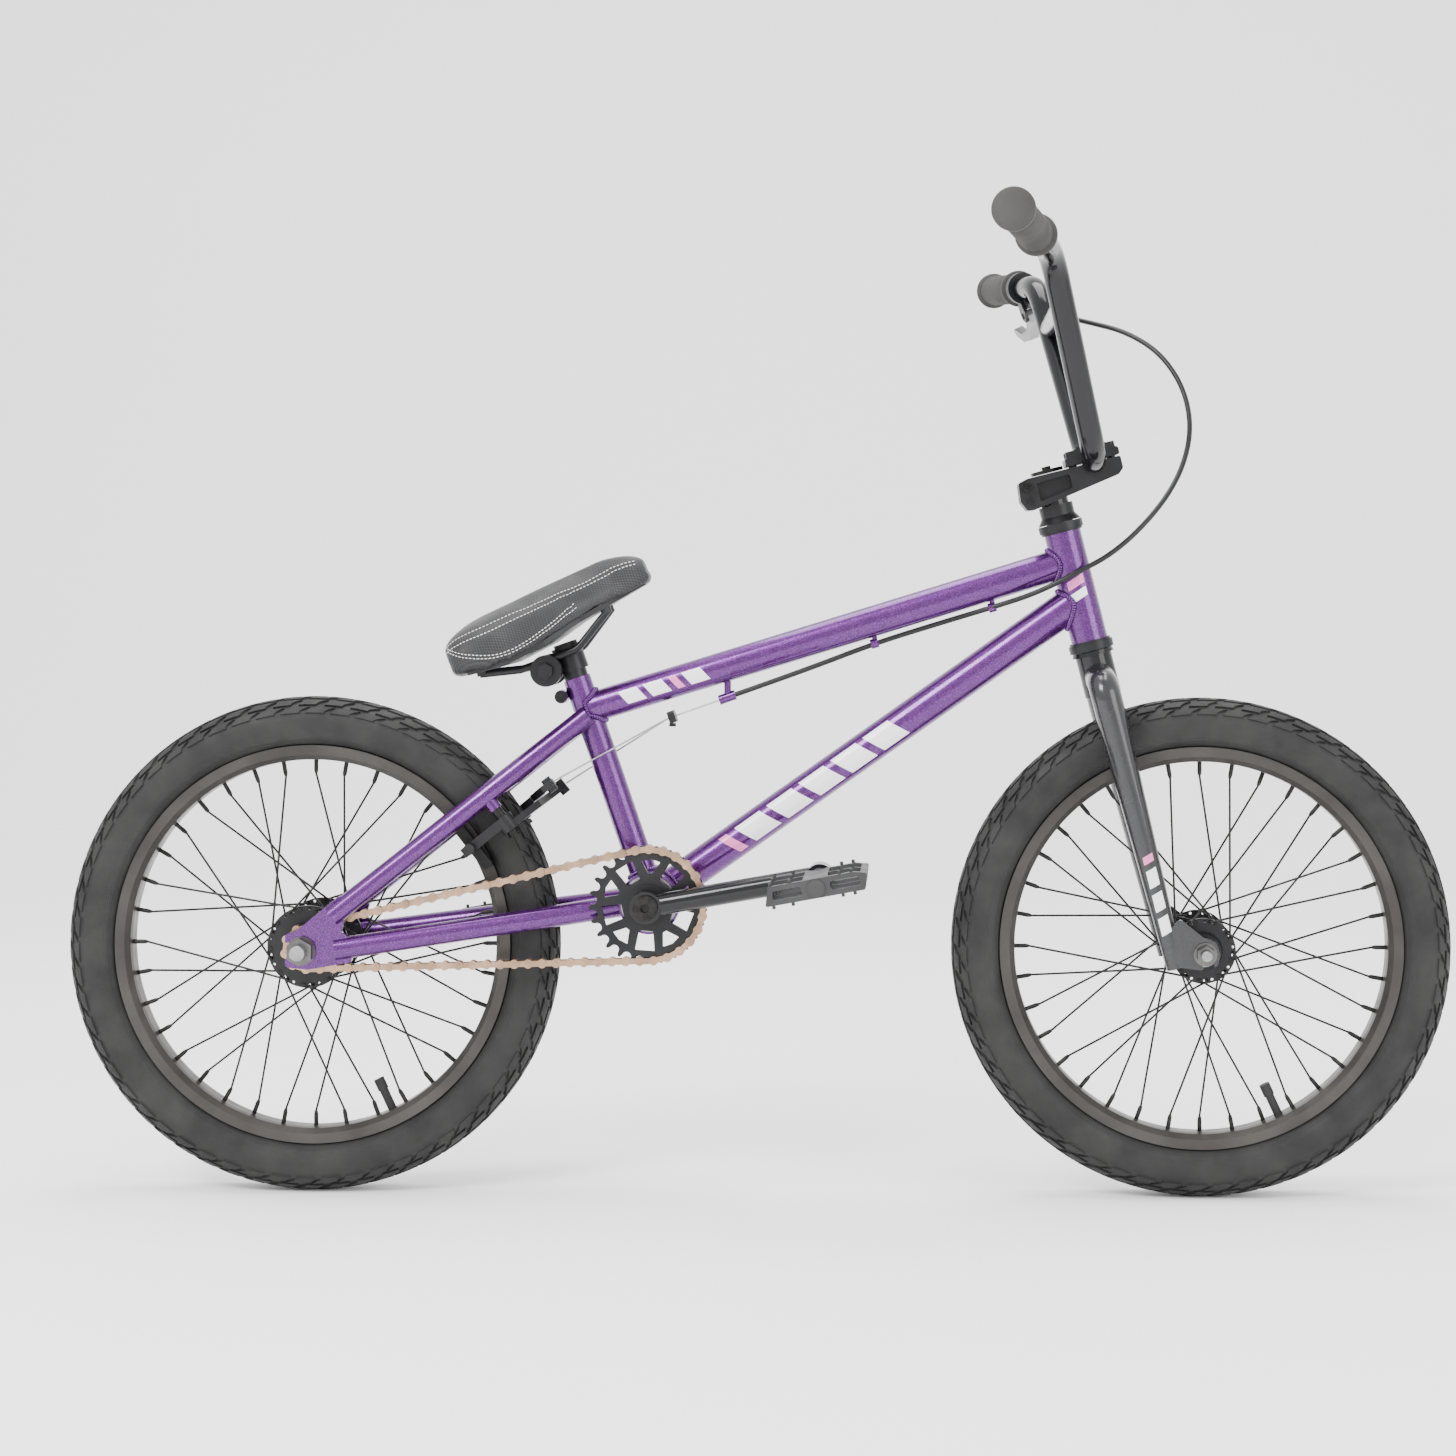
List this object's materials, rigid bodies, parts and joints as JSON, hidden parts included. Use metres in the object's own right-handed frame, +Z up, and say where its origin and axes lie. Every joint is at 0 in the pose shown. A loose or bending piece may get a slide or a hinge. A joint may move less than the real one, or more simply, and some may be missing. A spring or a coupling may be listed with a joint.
{
  "type": "bmx bike",
  "caption": "Single-speed BMX bike with 18 inch spoked wheels, high-rise handlebar with crossbar, tubular cranks, rear U-brake and padded seat.",
  "frame": {"origin": "on the ground midway between the two axles, in the plane of the wheels", "axes": "+X forward, +Y to the rider's left, +Z up"},
  "size_m": [1.2718, 0.7034, 0.88],
  "materials": {
    "purple_paint": "gloss metallic",
    "gloss_black": "gloss",
    "satin_black_metal": "satin",
    "dark_rim": "satin",
    "black_steel": "satin",
    "bare_steel": "satin",
    "copper_chain": "satin",
    "silver_alloy": "satin",
    "tyre_rubber": "matte",
    "black_rubber": "matte",
    "grip_rubber": "matte",
    "grey_plastic": "matte",
    "black_plastic": "satin",
    "seat_fabric": "satin woven"
  },
  "bodies": {
    "frame": {"head_tube": "purple_paint", "top_tube": "purple_paint", "down_tube": "purple_paint", "seat_tube": "purple_paint", "bottom_bracket_shell": "purple_paint", "chainstays": "purple_paint", "seatstays": "purple_paint", "rear_dropouts": "purple_paint", "frame_fittings": "purple_paint", "headset_cups": "satin_black_metal", "bottom_bracket_bearings": "bare_steel", "rear_axle": "bare_steel", "rear_axle_nuts": "black_steel", "frame_bolts": "black_steel", "chain": "copper_chain", "brake_cable_housing": "black_rubber"},
    "steering": {"fork_steerer": "gloss_black", "fork_legs": "gloss_black", "headset_spacers": "satin_black_metal", "stem_body": "satin_black_metal", "stem_cap": "satin_black_metal", "stem_bolts": "black_steel", "handlebar": "gloss_black", "grips": "grip_rubber", "lever_bracket": "satin_black_metal", "front_axle": "bare_steel", "front_axle_nuts": "black_steel"},
    "front_wheel": {"front_hub": "satin_black_metal", "front_hub_bearings": "bare_steel", "front_spokes": "black_steel", "front_rim": "dark_rim", "front_tyre": "tyre_rubber", "front_inner_tube": "black_rubber"},
    "rear_wheel": {"rear_hub": "satin_black_metal", "rear_hub_bearings": "bare_steel", "rear_spokes": "black_steel", "rear_rim": "dark_rim", "rear_tyre": "tyre_rubber", "rear_inner_tube": "black_rubber"},
    "driver": {"driver": "satin_black_metal"},
    "crankset": {"crank_spindle": "gloss_black", "crank_arm_right": "gloss_black", "crank_arm_left": "gloss_black", "sprocket": "satin_black_metal", "crank_hardware": "black_steel", "pedal_axles": "bare_steel"},
    "pedal_right": {"pedal_right": "grey_plastic"},
    "pedal_left": {"pedal_left": "grey_plastic"},
    "brake_lever": {"brake_lever": "silver_alloy"},
    "brake_arm_right": {"brake_arm_right": "satin_black_metal", "brake_pad_right": "black_rubber"},
    "brake_arm_left": {"brake_arm_left": "satin_black_metal", "brake_pad_left": "black_rubber"},
    "brake_yoke": {"brake_yoke": "satin_black_metal", "brake_wires": "bare_steel"},
    "seat_post": {"seat_post": "satin_black_metal", "seat_rail_clamp": "satin_black_metal"},
    "seat": {"seat_rails": "satin_black_metal", "seat_base": "black_plastic", "seat_cover": "seat_fabric"}
  },
  "joints": [
    {"name": "steering", "type": "hinge", "parent": "frame", "child": "steering", "pos_m": [0.38008, 0, 0.22093], "axis": [-0.2453, 0, 0.9694], "range_deg": [-85, 85], "deforming": ["brake_cable_housing"]},
    {"name": "front_wheel_spin", "type": "hinge", "parent": "steering", "child": "front_wheel", "pos_m": [0.408, 0, 0.228], "axis": [0, 1, 0], "continuous": true},
    {"name": "rear_wheel_spin", "type": "hinge", "parent": "frame", "child": "rear_wheel", "pos_m": [-0.408, 0, 0.228], "axis": [0, 1, 0], "continuous": true},
    {"name": "crank_spin", "type": "hinge", "parent": "frame", "child": "crankset", "pos_m": [-0.09483, 0, 0.269], "axis": [0, 1, 0], "continuous": true, "deforming": ["chain"]},
    {"name": "driver_spin", "type": "hinge", "parent": "frame", "child": "driver", "pos_m": [-0.408, 0, 0.228], "axis": [0, 1, 0], "continuous": true},
    {"name": "pedal_right_spin", "type": "hinge", "parent": "crankset", "child": "pedal_right", "pos_m": [0.06249, -0.0696, 0.29816], "axis": [0, 1, 0], "continuous": true},
    {"name": "pedal_left_spin", "type": "hinge", "parent": "crankset", "child": "pedal_left", "pos_m": [-0.25215, 0.0696, 0.23984], "axis": [0, 1, 0], "continuous": true},
    {"name": "brake_lever_pull", "type": "hinge", "parent": "steering", "child": "brake_lever", "pos_m": [0.26156, 0.22957, 0.82838], "axis": [0.9062, 0.1538, 0.394], "range_deg": [0, 18], "stiffness_Nm_per_rad": 0.6, "springref_deg": -20.05, "deforming": ["brake_wires"]},
    {"name": "brake_arm_right_turn", "type": "hinge", "parent": "frame", "child": "brake_arm_right", "pos_m": [-0.24389, -0.0395, 0.36757], "axis": [0.6208, 0, -0.784], "range_deg": [0, 2.4]},
    {"name": "brake_arm_left_turn", "type": "hinge", "parent": "frame", "child": "brake_arm_left", "pos_m": [-0.24389, 0.0395, 0.36757], "axis": [-0.6208, 0, 0.784], "range_deg": [0, 2.4]},
    {"name": "brake_yoke_slide", "type": "slide", "parent": "frame", "child": "brake_yoke", "axis": [0.9431, -0.015, 0.3323], "range_m": [0, 0.004]},
    {"name": "seat_post_slide", "type": "slide", "parent": "frame", "child": "seat_post", "axis": [-0.3256, 0, 0.9455], "range_m": [0, 0.06]},
    {"name": "seat_tilt", "type": "hinge", "parent": "seat_post", "child": "seat", "pos_m": [-0.19036, 0, 0.48041], "axis": [0, 1, 0], "range_deg": [-4, 10]}
  ],
  "couplings": [
    {"joint": "driver_spin", "follows": "crank_spin", "ratio": 2.7778},
    {"joint": "brake_arm_right_turn", "follows": "brake_lever_pull", "ratio": 0.13333},
    {"joint": "brake_arm_left_turn", "follows": "brake_lever_pull", "ratio": 0.13333},
    {"joint": "brake_yoke_slide", "follows": "brake_lever_pull", "m_per_rad": 0.012732}
  ]
}
